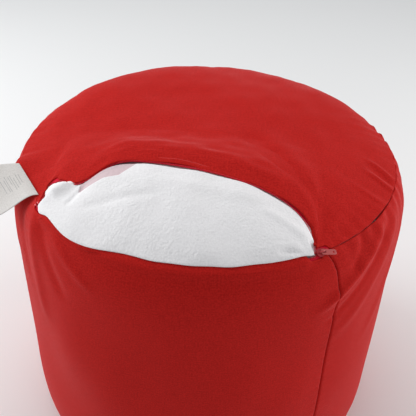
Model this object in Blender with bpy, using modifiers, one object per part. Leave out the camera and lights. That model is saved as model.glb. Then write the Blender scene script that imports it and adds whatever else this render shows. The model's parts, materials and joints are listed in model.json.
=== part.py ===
"""Round bean bag chair: a filled pouf whose zipped fabric cover stands open over its liner bag.

Units are metres, +Z is up. The origin is the centre of the flat base, on the ground.
The zip runs along the front of the rim seam. Its slider stands at the right-hand, open end, and
the loose front edge of the top panel, the lip, lies pushed back and up over the liner bag.
"""

import math

import bmesh
import bpy
from mathutils import Matrix, Vector

# Cover: a turned body with a domed top and a rounded shoulder
BODY_RADIUS = 0.250
RIM_RADIUS = 0.2315
RIM_HEIGHT = 0.400
CROWN_HEIGHT = 0.034
CROWN_POWER = 2.6
SHOULDER = 0.020
FABRIC = 0.0010
MESH_GAP = 0.0003
FACETS = 60
FINE_FACETS = 120
SIDE_SEAM_AZIMUTH = math.radians(-55.0)

# Liner bag and its beads, both inside the cover
LINER_FABRIC = 0.0006
LINER_DEPTH = 0.0032
LINER_BULGE = 0.008
BEAD_DEPTH = 0.0048

# Zip, measured across and above the line where the top panel and the wall would meet
ZIP_TILT = math.radians(33.0)
ZIP_DEPTH = 0.00155
TAPE_DEPTH = 0.00175
TAPE_THICKNESS = 0.0005
TAPE_EDGE = 0.0029
TAPE_WIDTH = 0.0080
COIL_RADIUS = 0.0009
COIL_OFFSET = 0.00165
COVER_SETBACK = 0.0055
TAPE_LEFT = math.radians(-145.7)
TAPE_RIGHT = math.radians(-56.2)
COIL_LEFT = math.radians(-144.5)
COIL_RIGHT = math.radians(-57.9)
TOP_STOP_AZIMUTH = math.radians(-144.9)
BOTTOM_STOP_AZIMUTH = math.radians(-57.5)
RIM_STEPS = 30
LIP_STEPS = 36

# Lip: how far the open front edge of the top panel is pushed back and up
LIP_AZIMUTH = math.radians(-97.0)
LIP_BACK = 0.1204
LIP_RISE = 0.0382
LIP_LEFT = math.radians(-144.2)
LIP_RIGHT = math.radians(-61.2)
LIP_ROUNDNESS = 0.6
LIP_SAG = 0.33
LIP_SAG_AZIMUTH = math.radians(-132.0)
LIP_SAG_WIDTH = math.radians(8.0)
LIP_FLAT_MARGIN = 0.015
LIP_FOLD_START = 0.023
LIP_FOLD_POWER = 1.3
LIP_MAX_STRETCH = 2.5
TAPE_DROP = 0.0008

# Slider, along the zip, across it and above the plane of the coils
SLIDER_AZIMUTH = math.radians(-59.5)
SLIDER_LENGTH = 0.0110
SLIDER_MOUTH = 0.0088
SLIDER_TAIL = 0.0070
WING_TOP = 0.0022
WING_UNDER = 0.0013
LOWER_WING_TOP = -0.0017
LOWER_WING_UNDER = -0.0025
LOWER_WING_SHARE = 0.80
FLANGE_THICKNESS = 0.0007
POST_LENGTH = 0.0028
POST_THICKNESS = 0.0008
CROWN_SPAN = 0.0030
CROWN_WIRE = 0.0006
CROWN_TOP = 0.0046
PULL_HINGE_HEIGHT = 0.0031
PULL_LENGTH = 0.0170
PULL_WIDTH = 0.0058
PULL_THICKNESS = 0.0010
PULL_BAR = 0.0011

# Care label, sewn into the rim seam left of the zip
LABEL_AZIMUTH = math.radians(-156.5)
LABEL_WIDTH = 0.060
LABEL_LENGTH = 0.060
LABEL_THICKNESS = 0.0006
LABEL_STAND_OFF = 0.0016

RED_FABRIC = ((0.44, 0.020, 0.016), 0.85, 0.0)
RED_TAPE = ((0.50, 0.015, 0.030), 0.80, 0.0)
RED_NYLON = ((0.46, 0.015, 0.020), 0.45, 0.0)
RED_ENAMEL = ((0.42, 0.010, 0.020), 0.30, 0.6)
PALE_ENAMEL = ((0.75, 0.42, 0.42), 0.25, 0.6)
WHITE_FABRIC = ((0.74, 0.72, 0.73), 0.80, 0.0)
WHITE_BEADS = ((0.85, 0.85, 0.85), 0.70, 0.0)
WHITE_SATIN = ((0.70, 0.67, 0.63), 0.50, 0.0)


def start_afresh():
    for obj in list(bpy.data.objects):
        bpy.data.objects.remove(obj, do_unlink=True)


def new_collection(name):
    collection = bpy.data.collections.new(name)
    bpy.context.scene.collection.children.link(collection)
    return collection


def painted(obj, finish):
    colour, roughness, metallic = finish
    material = bpy.data.materials.new(obj.name)
    material.use_nodes = True
    shader = material.node_tree.nodes["Principled BSDF"]
    shader.inputs["Base Color"].default_value = (*colour, 1.0)
    shader.inputs["Roughness"].default_value = roughness
    shader.inputs["Metallic"].default_value = metallic
    obj.data.materials.clear()
    obj.data.materials.append(material)


def linked(name, data):
    obj = bpy.data.objects.new(name, data)
    PARTS.objects.link(obj)
    return obj


def baked(obj):
    """The same object with its modifiers or curve settled into a plain mesh."""
    evaluated = obj.evaluated_get(bpy.context.evaluated_depsgraph_get())
    mesh = bpy.data.meshes.new_from_object(evaluated)
    name = obj.name
    matrix = obj.matrix_world.copy()
    bpy.data.objects.remove(obj, do_unlink=True)
    mesh.name = name
    settled = linked(name, mesh)
    settled.matrix_world = matrix
    return settled


def weld(mesh):
    work = bmesh.new()
    work.from_mesh(mesh)
    bmesh.ops.remove_doubles(work, verts=work.verts, dist=0.00001)
    work.to_mesh(mesh)
    work.free()


def turned(name, profile, finish, turn=math.tau, start=0.0, facets=FACETS, thickness=None):
    """A profile of (radius, height) points, run down its outer side and turned about Z."""
    mesh = bpy.data.meshes.new(name)
    points = [(radius, 0.0, height) for radius, height in profile]
    mesh.from_pydata(points, [(i, i + 1) for i in range(len(points) - 1)], [])
    obj = linked(name, mesh)
    obj.rotation_euler.z = start
    screw = obj.modifiers.new("Turn", "SCREW")
    screw.axis = "Z"
    screw.angle = turn
    screw.steps = facets
    screw.render_steps = facets
    screw.use_smooth_shade = True
    screw.use_merge_vertices = True
    screw.merge_threshold = 0.00001
    if thickness:
        shell = obj.modifiers.new("Fabric", "SOLIDIFY")
        shell.thickness = thickness
        shell.offset = -1.0
        shell.use_even_offset = True
    painted(obj, finish)
    return obj


def crown(radius):
    """Height of the top panel above the rim."""
    return CROWN_HEIGHT * (1.0 - (min(radius, RIM_RADIUS) / RIM_RADIUS) ** CROWN_POWER)


def crown_slope(radius):
    return -CROWN_HEIGHT * CROWN_POWER / RIM_RADIUS * (radius / RIM_RADIUS) ** (CROWN_POWER - 1.0)


def wall_radius(height):
    drop = (RIM_HEIGHT - height) / SHOULDER
    rise = height / SHOULDER
    return BODY_RADIUS - (BODY_RADIUS - RIM_RADIUS) * (math.exp(-drop) + math.exp(-rise))


def top_point(radius, depth):
    """A point under the top panel, at a depth square to its surface."""
    slope = crown_slope(radius)
    length = math.hypot(1.0, slope)
    return (radius + depth * slope / length, RIM_HEIGHT + crown(radius) - depth / length)


def wall_point(height, depth):
    """A point inside the wall, at a depth square to its surface."""
    step = 0.0001
    slope = (wall_radius(height + step) - wall_radius(height - step)) / (2.0 * step)
    length = math.hypot(1.0, slope)
    return (wall_radius(height) - depth / length, height + depth * slope / length)


def rim_frame(azimuth, height=-ZIP_DEPTH):
    """Matrix on the rim: X along the seam, Y inwards up the zip's plane, Z square out of it."""
    radial = Vector((math.cos(azimuth), math.sin(azimuth), 0.0))
    along = Vector((-math.sin(azimuth), math.cos(azimuth), 0.0))
    outward = math.sin(ZIP_TILT) * radial + math.cos(ZIP_TILT) * Vector((0.0, 0.0, 1.0))
    inward = outward.cross(along)
    place = RIM_RADIUS * radial + Vector((0.0, 0.0, RIM_HEIGHT)) + height * outward
    matrix = Matrix((along, inward, outward)).transposed().to_4x4()
    matrix.translation = place
    return matrix


def lip_share(azimuth):
    """How far open the zip stands at an azimuth, from 0 at its ends to 1."""
    middle = (LIP_LEFT + LIP_RIGHT) / 2.0
    half = (LIP_RIGHT - LIP_LEFT) / 2.0
    place = abs(azimuth - middle) / half
    if place >= 1.0:
        return 0.0
    arch = (1.0 - place ** 2) ** LIP_ROUNDNESS
    sag = LIP_SAG * math.exp(-((azimuth - LIP_SAG_AZIMUTH) / LIP_SAG_WIDTH) ** 2)
    return arch * (1.0 - sag)


def lip_move():
    """The lip's whole move from closed to open: back towards the centre, and up."""
    return Vector((-LIP_BACK * math.cos(LIP_AZIMUTH), -LIP_BACK * math.sin(LIP_AZIMUTH), LIP_RISE))


def lip_columns(x, y):
    """A point's distance forward, and the rim's distance and azimuth straight ahead of it."""
    forward = x * math.cos(LIP_AZIMUTH) + y * math.sin(LIP_AZIMUTH)
    across = -x * math.sin(LIP_AZIMUTH) + y * math.cos(LIP_AZIMUTH)
    across = max(-RIM_RADIUS, min(RIM_RADIUS, across))
    rim = math.sqrt(RIM_RADIUS ** 2 - across ** 2)
    return forward, rim, LIP_AZIMUTH + math.asin(across / RIM_RADIUS)


def lip_shift(x, y):
    """How far the open lip has carried a point of the closed top panel."""
    forward, rim, azimuth = lip_columns(x, y)
    reach = rim - LIP_FLAT_MARGIN - LIP_FOLD_START
    if reach <= 0.0 or forward <= LIP_FOLD_START:
        return Vector((0.0, 0.0, 0.0))
    place = min(1.0, (forward - LIP_FOLD_START) / reach)
    return lip_share(azimuth) * place ** LIP_FOLD_POWER * lip_move()


def lip_stretch(azimuth):
    """How much longer the lip's line is here than the rim below it."""
    step = math.radians(0.5)
    growth = (lip_share(azimuth + step) - lip_share(azimuth - step)) / (2.0 * step)
    along = Vector((-math.sin(azimuth), math.cos(azimuth), 0.0)) * RIM_RADIUS
    stretch = (along + growth * lip_move()).length / RIM_RADIUS
    return max(1.0, min(LIP_MAX_STRETCH, stretch))


def zip_azimuth(point):
    """The azimuth of a point, counted so that the zip has no jump in it."""
    azimuth = math.atan2(point.y, point.x)
    return azimuth - math.tau if azimuth > math.pi / 2.0 else azimuth


def move_out(point, distance_in):
    """Slide a point of the top panel along its dome to a given distance in from the rim."""
    radius = math.hypot(point.x, point.y)
    target = RIM_RADIUS - distance_in
    point.z += crown(target) - crown(radius)
    point.x *= target / radius
    point.y *= target / radius


def top_panel():
    rings = (0.0, 0.40, 0.70, 0.84, 0.93, 1.0)
    outer = RIM_RADIUS - MESH_GAP
    profile = [(outer * ring, RIM_HEIGHT + crown(outer * ring)) for ring in rings]
    panel = baked(
        turned(
            "top_panel",
            profile,
            RED_FABRIC,
            start=SIDE_SEAM_AZIMUTH,
            facets=FINE_FACETS,
            thickness=FABRIC,
        )
    )
    panel.data.transform(panel.matrix_world)
    panel.matrix_world = Matrix.Identity(4)
    for vertex in panel.data.vertices:
        azimuth = zip_azimuth(vertex.co)
        distance_in = RIM_RADIUS - math.hypot(vertex.co.x, vertex.co.y)
        if distance_in < COVER_SETBACK and TAPE_LEFT < azimuth < TAPE_RIGHT:
            move_out(vertex.co, distance_in + COVER_SETBACK * lip_stretch(azimuth))
        vertex.co += lip_shift(vertex.co.x, vertex.co.y)
    painted(panel, RED_FABRIC)


def wall_profile(depth, top, bottom, drops):
    heights = [top] + [RIM_HEIGHT - drop for drop in drops] + [bottom]
    return [wall_point(height, depth) for height in heights]


def wall_panel(name, start, facets):
    top = RIM_HEIGHT - 0.0007
    bottom = FABRIC + MESH_GAP
    profile = wall_profile(0.0, top, bottom, (0.008, 0.018, 0.035, 0.075, 0.335, 0.380))
    slit = 1.2 * MESH_GAP / BODY_RADIUS
    panel = turned(
        name,
        profile,
        RED_FABRIC,
        turn=math.pi - slit,
        start=start + slit / 2.0,
        facets=facets,
        thickness=FABRIC,
    )
    panel = baked(panel)
    panel.data.transform(panel.matrix_world)
    panel.matrix_world = Matrix.Identity(4)
    return panel


def front_wall_panel():
    """The front wall's top edge stands back from the zip, which its tape holds."""
    panel = wall_panel("front_wall_panel", SIDE_SEAM_AZIMUTH - math.pi, FINE_FACETS // 2)
    direction = Vector((0.638, -0.770))
    for vertex in panel.data.vertices:
        azimuth = zip_azimuth(vertex.co)
        if vertex.co.z > RIM_HEIGHT - 0.004 and TAPE_LEFT < azimuth < TAPE_RIGHT:
            step = (COVER_SETBACK - 0.0007) * direction
            radius = math.hypot(vertex.co.x, vertex.co.y)
            vertex.co.x *= 1.0 + step.x / radius
            vertex.co.y *= 1.0 + step.x / radius
            vertex.co.z += step.y


def base_panel():
    bpy.ops.mesh.primitive_cylinder_add(
        vertices=FACETS, radius=RIM_RADIUS, depth=FABRIC, location=(0.0, 0.0, FABRIC / 2.0)
    )
    panel = bpy.context.object
    panel.name = "base_panel"
    panel.data.name = "base_panel"
    for collection in panel.users_collection:
        collection.objects.unlink(panel)
    PARTS.objects.link(panel)
    painted(panel, RED_FABRIC)


def liner_corner(depth):
    """Where the liner's top and wall meet, well below the slider's path."""
    drop = 0.0056 + depth
    return (
        RIM_RADIUS - drop * math.sin(ZIP_TILT),
        RIM_HEIGHT - drop * math.cos(ZIP_TILT),
    )


def liner_swell(x, y):
    """How far the full liner stands up through the open zip."""
    forward, rim, azimuth = lip_columns(x, y)
    share = lip_share(azimuth)
    lip = rim - share * LIP_BACK
    behind = max(0.0, min(1.0, (forward - lip + 0.060) / 0.060))
    ahead = max(0.0, min(1.0, (rim - 0.020 - forward) / 0.050))
    return LINER_BULGE * share ** 2 * behind ** 2 * ahead ** 2


def liner():
    corner = liner_corner(0.0)
    seam = Vector((math.cos(ZIP_TILT), -math.sin(ZIP_TILT))) * MESH_GAP
    rings = (0.0, 0.30, 0.48, 0.62, 0.76, 0.87, 0.943)
    top_profile = [top_point(RIM_RADIUS * ring, LINER_DEPTH) for ring in rings]
    top_profile[0] = (0.0, top_profile[0][1])
    top_profile.append((corner[0] - seam.x, corner[1] - seam.y))
    top = baked(turned("liner_top", top_profile, WHITE_FABRIC, thickness=LINER_FABRIC))
    for vertex in top.data.vertices:
        vertex.co.z += liner_swell(vertex.co.x, vertex.co.y)
    painted(top, WHITE_FABRIC)

    foot = FABRIC + 2.0 * MESH_GAP + LINER_FABRIC
    drops = (0.014, 0.026, 0.050, 0.340, 0.378)
    wall_line = [wall_point(RIM_HEIGHT - drop, LINER_DEPTH) for drop in drops]
    wall_line.insert(0, (corner[0] + seam.x, corner[1] + seam.y))
    wall_line.append((RIM_RADIUS - 0.004, foot + MESH_GAP))
    turned("liner_wall", wall_line, WHITE_FABRIC, thickness=LINER_FABRIC)

    bottom = FABRIC + MESH_GAP
    turned(
        "liner_base",
        [(0.0, bottom + LINER_FABRIC), (RIM_RADIUS - 0.0045, bottom + LINER_FABRIC)],
        WHITE_FABRIC,
        thickness=LINER_FABRIC,
    )


def bead_fill():
    rings = (0.0, 0.30, 0.62, 0.943)
    profile = [top_point(RIM_RADIUS * ring, BEAD_DEPTH) for ring in rings]
    profile[0] = (0.0, profile[0][1])
    corner = liner_corner(BEAD_DEPTH - LINER_DEPTH)
    profile.append(corner)
    drops = (0.014, 0.026, 0.050, 0.340, 0.378)
    profile += [wall_point(RIM_HEIGHT - drop, BEAD_DEPTH) for drop in drops]
    foot = FABRIC + 4.0 * MESH_GAP + LINER_FABRIC
    profile.append((RIM_RADIUS - 0.008, foot))
    profile.append((0.0, foot))
    turned("bead_fill", profile, WHITE_BEADS)


def zip_tapes():
    turn = TAPE_RIGHT - TAPE_LEFT
    heights = [RIM_HEIGHT - drop for drop in (0.0021, 0.0055, 0.0092)]
    turned(
        "zip_tape_lower",
        [wall_point(height, TAPE_DEPTH - TAPE_THICKNESS / 2.0) for height in heights],
        RED_TAPE,
        turn=turn,
        start=TAPE_LEFT,
        facets=30,
        thickness=TAPE_THICKNESS,
    )
    radii = [RIM_RADIUS - TAPE_EDGE - TAPE_WIDTH, RIM_RADIUS - TAPE_EDGE]
    upper = baked(
        turned(
            "zip_tape_upper",
            [top_point(radius, TAPE_DEPTH - TAPE_THICKNESS / 2.0) for radius in radii],
            RED_TAPE,
            turn=turn,
            start=TAPE_LEFT,
            facets=60,
            thickness=TAPE_THICKNESS,
        )
    )
    upper.data.transform(upper.matrix_world)
    upper.matrix_world = Matrix.Identity(4)
    for vertex in upper.data.vertices:
        distance_in = RIM_RADIUS - math.hypot(vertex.co.x, vertex.co.y)
        stretch = lip_stretch(zip_azimuth(vertex.co))
        move_out(vertex.co, distance_in * stretch)
        vertex.co += lip_shift(vertex.co.x, vertex.co.y)
        vertex.co.z -= TAPE_DROP * (stretch - 1.0)
    painted(upper, RED_TAPE)


def zip_coil(name, side, carried):
    """One half of the closed chain, as a round cord along the rim or along the lip.

    On the lip its points stand closer towards both ends, where the lip bends away sharply.
    """
    curve = bpy.data.curves.new(name, "CURVE")
    curve.dimensions = "3D"
    curve.bevel_depth = COIL_RADIUS
    curve.bevel_resolution = 2
    curve.use_fill_caps = True
    steps = LIP_STEPS if carried else RIM_STEPS
    spline = curve.splines.new("POLY")
    spline.points.add(steps)
    for index, point in enumerate(spline.points):
        place = index / steps
        if carried:
            place = (1.0 - math.cos(math.pi * place)) / 2.0
        azimuth = COIL_LEFT + (COIL_RIGHT - COIL_LEFT) * place
        place = rim_frame(azimuth) @ Vector((0.0, side * COIL_OFFSET, 0.0))
        if carried:
            place += lip_share(azimuth) * lip_move()
        point.co = (*place, 1.0)
    obj = baked(linked(name, curve))
    weld(obj.data)
    obj.data.shade_smooth()
    painted(obj, RED_NYLON)


def block(name, size, centre, matrix):
    """A box in the frame of a matrix, as a mesh object at the world's origin."""
    mesh = bpy.data.meshes.new(name)
    work = bmesh.new()
    bmesh.ops.create_cube(work, size=1.0, matrix=Matrix.Diagonal((*size, 1.0)))
    bmesh.ops.translate(work, verts=work.verts, vec=centre)
    work.to_mesh(mesh)
    work.free()
    mesh.transform(matrix)
    return linked(name, mesh)


def zip_stops():
    """Moulded blocks at the ends of the coils, one across both and one on each."""
    size = (0.0020, 0.0044, 0.0018)
    across = block("zip_bottom_stop", size, (0.0, 0.0, 0.0004), rim_frame(BOTTOM_STOP_AZIMUTH))
    painted(across, RED_NYLON)
    for name, side in (("zip_top_stop_lower", -1.0), ("zip_top_stop_upper", 1.0)):
        centre = (0.0, side * COIL_OFFSET, 0.0004)
        stop = block(name, (0.0016, 0.0018, 0.0018), centre, rim_frame(TOP_STOP_AZIMUTH))
        painted(stop, RED_NYLON)


def wing(name, under, top, share):
    """One plate of the slider: wide at the mouth, narrower at the tail, with round corners."""
    curve = bpy.data.curves.new(name, "CURVE")
    curve.dimensions = "2D"
    curve.fill_mode = "BOTH"
    curve.extrude = (top - under) / 2.0
    mouth = -SLIDER_LENGTH / 2.0
    tail = SLIDER_LENGTH / 2.0
    half_mouth = share * SLIDER_MOUTH / 2.0
    half_tail = share * SLIDER_TAIL / 2.0
    side = [
        (mouth, 0.45 * half_mouth),
        (mouth + 0.0010, 0.85 * half_mouth),
        (mouth + 0.0026, half_mouth),
        (0.0, half_mouth),
        (tail - 0.0030, half_tail),
        (tail - 0.0008, 0.90 * half_tail),
        (tail, 0.60 * half_tail),
    ]
    outline = side + [(x, -y) for x, y in reversed(side)]
    spline = curve.splines.new("POLY")
    spline.points.add(len(outline) - 1)
    for point, (x, y) in zip(spline.points, outline):
        point.co = (x, y, 0.0, 1.0)
    spline.use_cyclic_u = True
    plate = baked(linked(name, curve))
    weld(plate.data)
    plate.data.transform(Matrix.Translation((0.0, 0.0, (under + top) / 2.0)))
    return plate


def joined(body, others):
    """Boolean union of several closed meshes into the first."""
    for other in others:
        union = body.modifiers.new("Join", "BOOLEAN")
        union.operation = "UNION"
        union.object = other
    name = body.name
    result = baked(body)
    result.name = name
    for other in others:
        bpy.data.objects.remove(other, do_unlink=True)
    return result


def slider_body():
    body = wing("slider_body", WING_UNDER, WING_TOP, 1.0)
    others = [wing("lower_wing", LOWER_WING_UNDER, LOWER_WING_TOP, LOWER_WING_SHARE)]
    post_height = WING_UNDER - LOWER_WING_TOP + 0.0006
    post_middle = (WING_UNDER + LOWER_WING_TOP) / 2.0
    post_place = (-SLIDER_LENGTH / 2.0 + POST_LENGTH / 2.0 + 0.0006, 0.0, post_middle)
    level = Matrix.Identity(4)
    others.append(block("post", (POST_LENGTH, POST_THICKNESS, post_height), post_place, level))
    for side in (-1.0, 1.0):
        across = side * (SLIDER_TAIL / 2.0 - FLANGE_THICKNESS / 2.0 + 0.0002)
        size = (0.0062, FLANGE_THICKNESS, WING_UNDER + 0.0004)
        centre = (0.0008, across, (WING_UNDER + 0.0004) / 2.0)
        others.append(block("flange", size, centre, level))
    body = joined(body, others)
    body.matrix_world = rim_frame(SLIDER_AZIMUTH)
    painted(body, RED_ENAMEL)


def slider_crown():
    """The arch on the slider's back that the pull tab hangs from."""
    curve = bpy.data.curves.new("slider_crown", "CURVE")
    curve.dimensions = "3D"
    curve.bevel_depth = CROWN_WIRE
    curve.bevel_resolution = 2
    curve.use_fill_caps = True
    foot = WING_TOP + MESH_GAP
    rise = CROWN_TOP - foot
    steps = 10
    spline = curve.splines.new("POLY")
    spline.points.add(steps)
    for index, point in enumerate(spline.points):
        angle = math.pi * (1.0 - index / steps)
        x = CROWN_SPAN * math.cos(angle)
        z = foot + rise * math.sin(angle) ** 0.55
        point.co = (x, 0.0, z, 1.0)
    crown_wire = baked(linked("slider_crown", curve))
    weld(crown_wire.data)
    crown_wire.data.shade_smooth()
    crown_wire.matrix_world = rim_frame(SLIDER_AZIMUTH)
    painted(crown_wire, RED_ENAMEL)


def ring_points(centre, half_length, half_width, corner):
    """A rounded rectangle's outline, three points to a corner."""
    points = []
    for quarter in range(4):
        for step in range(3):
            angle = math.pi / 2.0 * (quarter + step / 2.0)
            sign_x = 1.0 if quarter in (0, 3) else -1.0
            sign_y = 1.0 if quarter in (0, 1) else -1.0
            x = centre + sign_x * (half_length - corner) + corner * math.cos(angle)
            y = sign_y * (half_width - corner) + corner * math.sin(angle)
            points.append((x, y))
    return points


def pull_tab():
    """A stamped tab with a window that hooks its end bar under the crown, and a round eye."""
    curve = bpy.data.curves.new("pull_tab", "CURVE")
    curve.dimensions = "2D"
    curve.fill_mode = "BOTH"
    curve.extrude = PULL_THICKNESS / 2.0
    body_middle = PULL_LENGTH / 2.0 - PULL_BAR / 2.0
    window_end = CROWN_SPAN + CROWN_WIRE + 0.0006
    window_start = PULL_BAR / 2.0
    window_middle = (window_start + window_end) / 2.0
    eye_middle = PULL_LENGTH - PULL_BAR / 2.0 - 0.0032
    outlines = (
        ring_points(body_middle, PULL_LENGTH / 2.0, PULL_WIDTH / 2.0, 0.0016),
        ring_points(window_middle, (window_end - window_start) / 2.0, 0.0013, 0.0004),
        ring_points(eye_middle, 0.0013, 0.0013, 0.00129),
    )
    for outline in outlines:
        spline = curve.splines.new("POLY")
        spline.points.add(len(outline) - 1)
        for point, (x, y) in zip(spline.points, outline):
            point.co = (x, y, 0.0, 1.0)
        spline.use_cyclic_u = True
    tab = baked(linked("pull_tab", curve))
    weld(tab.data)
    tab.matrix_world = rim_frame(SLIDER_AZIMUTH) @ Matrix.Translation((0.0, 0.0, PULL_HINGE_HEIGHT))
    painted(tab, PALE_ENAMEL)


def care_label():
    radial = Matrix.Rotation(LABEL_AZIMUTH, 4, "Z")
    hinge = radial @ Matrix.Translation((RIM_RADIUS + LABEL_STAND_OFF, 0.0, RIM_HEIGHT))
    label = block(
        "care_label",
        (LABEL_LENGTH, LABEL_WIDTH, LABEL_THICKNESS),
        (LABEL_LENGTH / 2.0, 0.0, 0.0),
        Matrix.Identity(4),
    )
    label.matrix_world = hinge
    painted(label, WHITE_SATIN)


start_afresh()
PARTS = new_collection("bean_bag_chair")
top_panel()
front_wall_panel()
painted(wall_panel("rear_wall_panel", SIDE_SEAM_AZIMUTH, FACETS // 2), RED_FABRIC)
base_panel()
liner()
bead_fill()
zip_tapes()
zip_coil("zip_coil_lower", -1.0, False)
zip_coil("zip_coil_upper", 1.0, True)
zip_stops()
slider_body()
slider_crown()
pull_tab()
care_label()
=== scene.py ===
"""Looks of the round bean bag chair: fabric cover, open zip, liner bag and care label."""

import json
import math

import bmesh
import bpy
import numpy as np
from mathutils import Matrix, Vector


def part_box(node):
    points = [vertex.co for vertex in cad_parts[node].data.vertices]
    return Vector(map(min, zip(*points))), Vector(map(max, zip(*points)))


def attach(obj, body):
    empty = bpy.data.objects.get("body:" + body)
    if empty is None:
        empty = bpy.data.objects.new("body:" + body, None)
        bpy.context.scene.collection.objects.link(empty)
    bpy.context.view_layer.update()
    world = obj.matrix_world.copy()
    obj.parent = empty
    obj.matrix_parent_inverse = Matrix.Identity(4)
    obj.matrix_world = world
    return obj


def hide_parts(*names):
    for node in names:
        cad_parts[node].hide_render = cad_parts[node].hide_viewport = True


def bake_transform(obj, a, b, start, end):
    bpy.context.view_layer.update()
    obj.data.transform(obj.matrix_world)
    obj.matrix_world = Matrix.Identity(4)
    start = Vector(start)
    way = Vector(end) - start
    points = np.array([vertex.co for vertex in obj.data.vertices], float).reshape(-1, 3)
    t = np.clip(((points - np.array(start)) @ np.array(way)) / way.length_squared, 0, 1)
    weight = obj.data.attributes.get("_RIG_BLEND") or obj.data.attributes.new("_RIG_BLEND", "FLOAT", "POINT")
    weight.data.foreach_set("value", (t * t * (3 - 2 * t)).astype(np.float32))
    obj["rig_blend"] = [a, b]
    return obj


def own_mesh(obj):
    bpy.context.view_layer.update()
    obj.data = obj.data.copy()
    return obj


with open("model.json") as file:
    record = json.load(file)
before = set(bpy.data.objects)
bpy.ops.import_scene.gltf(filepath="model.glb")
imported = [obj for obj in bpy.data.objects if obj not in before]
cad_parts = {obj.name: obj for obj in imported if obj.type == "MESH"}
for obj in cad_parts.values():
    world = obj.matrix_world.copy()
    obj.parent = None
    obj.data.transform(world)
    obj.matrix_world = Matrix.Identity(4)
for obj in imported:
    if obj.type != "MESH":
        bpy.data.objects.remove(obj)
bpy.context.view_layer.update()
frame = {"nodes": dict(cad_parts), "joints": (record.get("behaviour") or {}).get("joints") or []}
JOINTS = {joint["name"]: joint for joint in frame["joints"]}

# ---- Sizes read from the frame, in metres -------------------------------------------------
RIM_HEIGHT = JOINTS["slider_travel"]["pos_m"][2]
RIM_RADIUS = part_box("base_panel")[1][0]
BODY_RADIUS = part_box("rear_wall_panel")[1][0]
LIP_MOVE = -np.array(JOINTS["lip_close"]["axis"]) * JOINTS["lip_close"]["range_m"][1]
LIP_AZIMUTH = math.atan2(-LIP_MOVE[1], -LIP_MOVE[0])
LIP_BACK = math.hypot(LIP_MOVE[0], LIP_MOVE[1])
LIP_RISE = LIP_MOVE[2]
LABEL_HINGE = Vector(JOINTS["care_label_flop"]["pos_m"])
PULL_HINGE = Vector(JOINTS["pull_tab_flip"]["pos_m"])

# ---- Design values shared with the CAD part -----------------------------------------------
CROWN_HEIGHT = 0.034
CROWN_POWER = 2.6
SHOULDER = 0.020
LINER_DEPTH = 0.0032
ZIP_TILT = math.radians(33.0)
ZIP_DEPTH = 0.00155
COIL_OFFSET = 0.00165
COIL_RADIUS = 0.0009
COIL_LEFT = math.radians(-144.5)
COIL_RIGHT = math.radians(-57.9)
TAPE_LEFT = math.radians(-145.7)
TAPE_RIGHT = math.radians(-56.2)
TAPE_DEPTH = 0.00175
LIP_LEFT = math.radians(-144.2)
LIP_RIGHT = math.radians(-61.2)
LIP_ROUNDNESS = 0.6
LIP_SAG = 0.33
LIP_SAG_AZIMUTH = math.radians(-132.0)
LIP_SAG_WIDTH = math.radians(8.0)
LIP_FLAT_MARGIN = 0.015
LIP_FOLD_START = 0.023
LIP_FOLD_POWER = 1.3
LIP_MAX_STRETCH = 2.5
COVER_SETBACK = 0.0055
SLIDER_AZIMUTH = math.radians(-59.5)
LABEL_LENGTH = 0.060

# ---- Values of the visual model alone -----------------------------------------------------
# The dome is fuller towards the rear than the CAD one, and the label is 5 mm wider at its pulled root.
REAR_CROWN_POWER = 5.5
REAR_SWELL = 0.0014
REAR_LEFT_SWELL = 0.0040
COIL_WIRE = 0.0003
SIDE_SEAMS = (math.radians(-55.0), math.radians(125.0))
LABEL_LEFT = math.radians(-163.6)
LABEL_RIGHT = math.radians(-149.4)
LABEL_WIDTH = 0.065
LABEL_SEAM = 0.003
LABEL_BAR_HALF_HEIGHT = 0.00030
LABEL_SPARE = 1.05

# ---- Cloth values -------------------------------------------------------------------------
COVER_CLOTH = 0.0011
BASE_CLOTH = 0.0009
EDGE_ROLL = 0.0008
SEAM_DEPTH = 0.0035
HEM_DEPTH = 0.0060
THREAD_PITCH = 0.0009
PUCKER_REACH_WALL = 0.026
PUCKER_REACH_TOP = 0.022
DEEPEST_DIP_TOP = 0.0014
DEEPEST_DIP_WALL = 0.0030
COIL_LIFT = 0.0010
UPPER_COIL_LIFT = 0.0006
LIP_HEM_MIN = 0.0006
LIP_HEM_WAVE = 0.0026
HEM_UNDER_LINER = 0.0018
HEM_HEIGHT = 0.0008
HEM_REACH = 0.020
HEM_FLAT_END = 0.0030
HEM_BEND = 0.0070
LINER_EAR = 0.0060
LINER_EAR_AZIMUTH = math.radians(-141.0)
LINER_EAR_WIDTH = math.radians(2.4)
LINER_CORNER = 0.0028
LINER_CORNER_AZIMUTH = math.radians(-62.4)
LINER_CORNER_WIDTH = math.radians(2.0)
PULL_SWING = math.radians(-19.0)
LINER_EDGE = -0.0020
LINER_SAG = 0.0090
LINER_SAG_AZIMUTH = math.radians(-126.0)
LINER_SAG_WIDTH = math.radians(9.5)
SIDE_SEAM_SWING = math.radians(-3.4)
SIDE_SEAM_SWING_DROP = 0.016
LABEL_DENT = (math.radians(-149.8), 0.014, (0.0062, 0.0, 0.0))
LABEL_PEAK = (math.radians(-164.5), 0.020, (-0.0064, 0.0020, 0.0060))

# ---- Camera and room ----------------------------------------------------------------------
CAMERA_PLACE = (0.0002, -0.7017, RIM_HEIGHT + 0.4199)
CAMERA_PITCH = math.radians(36.3)
CAMERA_ROLL = 0.036
CAMERA_LENS = 55.4


def smooth(x):
    x = np.clip(x, 0.0, 1.0)
    return x * x * (3.0 - 2.0 * x)


def rings(azimuth, seed, low, high, count=7):
    """A seeded sum of whole waves around the body, about -1 to 1."""
    random = np.random.RandomState(seed)
    total = np.zeros_like(azimuth, dtype=float)
    for _ in range(count):
        number = random.randint(low, high + 1)
        total = total + np.sin(number * azimuth + random.uniform(0.0, math.tau))
    return total / math.sqrt(count)


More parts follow.
